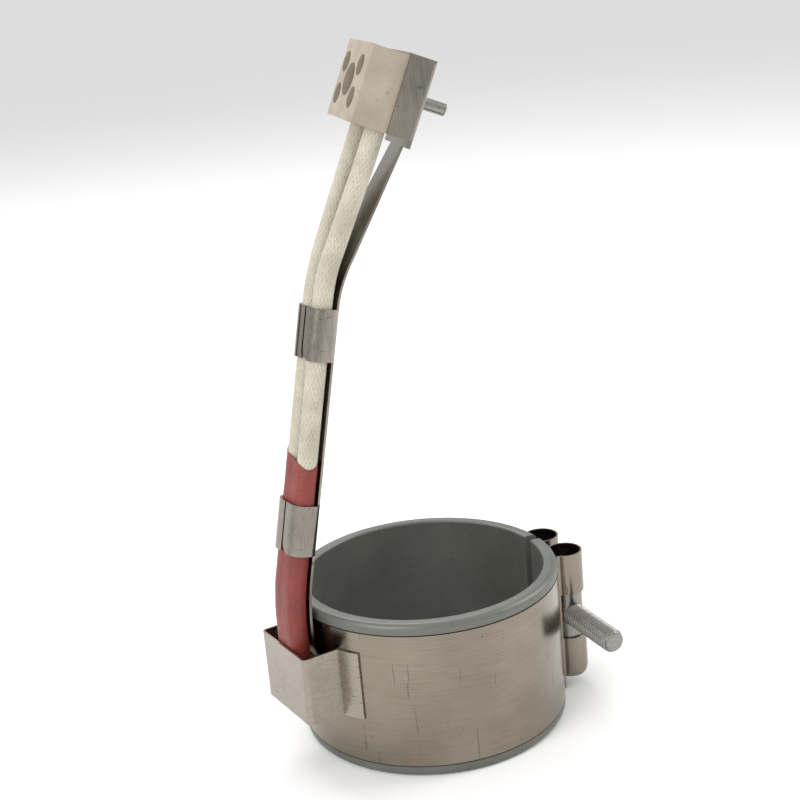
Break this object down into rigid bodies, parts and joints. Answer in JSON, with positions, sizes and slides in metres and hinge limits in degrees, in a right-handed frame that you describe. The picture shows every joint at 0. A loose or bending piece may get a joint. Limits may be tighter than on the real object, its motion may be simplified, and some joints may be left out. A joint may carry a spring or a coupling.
{
  "type": "mica band heater",
  "caption": "Split mica band heater with screw clamp, folded terminal cover, and clipped leads up a bracket arm to a ceramic terminal block.",
  "frame": {"origin": "on the ring's axis, in the plane of its lower rim", "axes": "+Z along the ring's axis towards the terminal block, +X from the axis to the split and the clamp screw, +Y along the clamp screw towards its head"},
  "size_m": [0.0847, 0.0672, 0.1706],
  "materials": {
    "coated_steel": "matt grey coated sheet",
    "mica": "pressed mica sheet",
    "ribbon": "bright resistance alloy strip",
    "polished_steel": "bright rolled stainless sheet",
    "zinc_steel": "bright zinc plate",
    "nickel": "nickel plate",
    "glass_braid": "varnished glass-fibre braid",
    "red_sleeve": "silicone coated glass sleeve",
    "steatite": "unglazed fired ceramic",
    "brass": "turned"
  },
  "bodies": {
    "heater": {"inner_sheath": "coated_steel", "mica_inner_sheet": "mica", "element_core": "mica", "resistance_ribbon": "ribbon", "mica_outer_sheet": "mica", "outer_sheath": "coated_steel", "clamp_band": "polished_steel", "barrel_nut": "zinc_steel", "barrel_pin": "zinc_steel", "terminal_cover": "polished_steel", "element_terminal_near": "ribbon", "element_terminal_far": "ribbon", "crimp_near": "nickel", "crimp_far": "nickel", "lead_near": "glass_braid", "lead_far": "glass_braid", "lead_sleeve": "red_sleeve", "support_bracket": "polished_steel", "ceramic_block": "steatite", "insert_near": "brass", "insert_far": "brass", "block_screw": "zinc_steel", "block_nut": "zinc_steel"},
    "washer": {"lock_washer": "zinc_steel"},
    "screw": {"clamp_screw": "zinc_steel"},
    "terminal_screw_near_low_body": {"terminal_screw_near_low": "zinc_steel"},
    "terminal_screw_near_high_body": {"terminal_screw_near_high": "zinc_steel"},
    "terminal_screw_far_low_body": {"terminal_screw_far_low": "zinc_steel"},
    "terminal_screw_far_high_body": {"terminal_screw_far_high": "zinc_steel"}
  },
  "joints": [
    {"name": "washer_slide", "type": "slide", "parent": "heater", "child": "washer", "axis": [0, 1, 0], "range_m": [0, 0.027]},
    {"name": "clamp_screw_turn", "type": "hinge", "parent": "washer", "child": "screw", "pos_m": [0.03723, 0, 0.02], "axis": [0, 1, 0], "range_deg": [0, 9720]},
    {"name": "terminal_screw_near_low_travel", "type": "slide", "parent": "heater", "child": "terminal_screw_near_low_body", "axis": [-0.9053, 0.1418, 0.4003], "range_m": [0, 0.002]},
    {"name": "terminal_screw_near_high_travel", "type": "slide", "parent": "heater", "child": "terminal_screw_near_high_body", "axis": [-0.9053, 0.1418, 0.4003], "range_m": [-0.0007, 0.002]},
    {"name": "terminal_screw_far_low_travel", "type": "slide", "parent": "heater", "child": "terminal_screw_far_low_body", "axis": [-0.9053, 0.1418, 0.4003], "range_m": [0, 0.002]},
    {"name": "terminal_screw_far_high_travel", "type": "slide", "parent": "heater", "child": "terminal_screw_far_high_body", "axis": [-0.9053, 0.1418, 0.4003], "range_m": [-0.0007, 0.002]}
  ],
  "couplings": [
    {"joint": "clamp_screw_turn", "follows": "washer_slide", "rad_per_m": 6283.2}
  ]
}
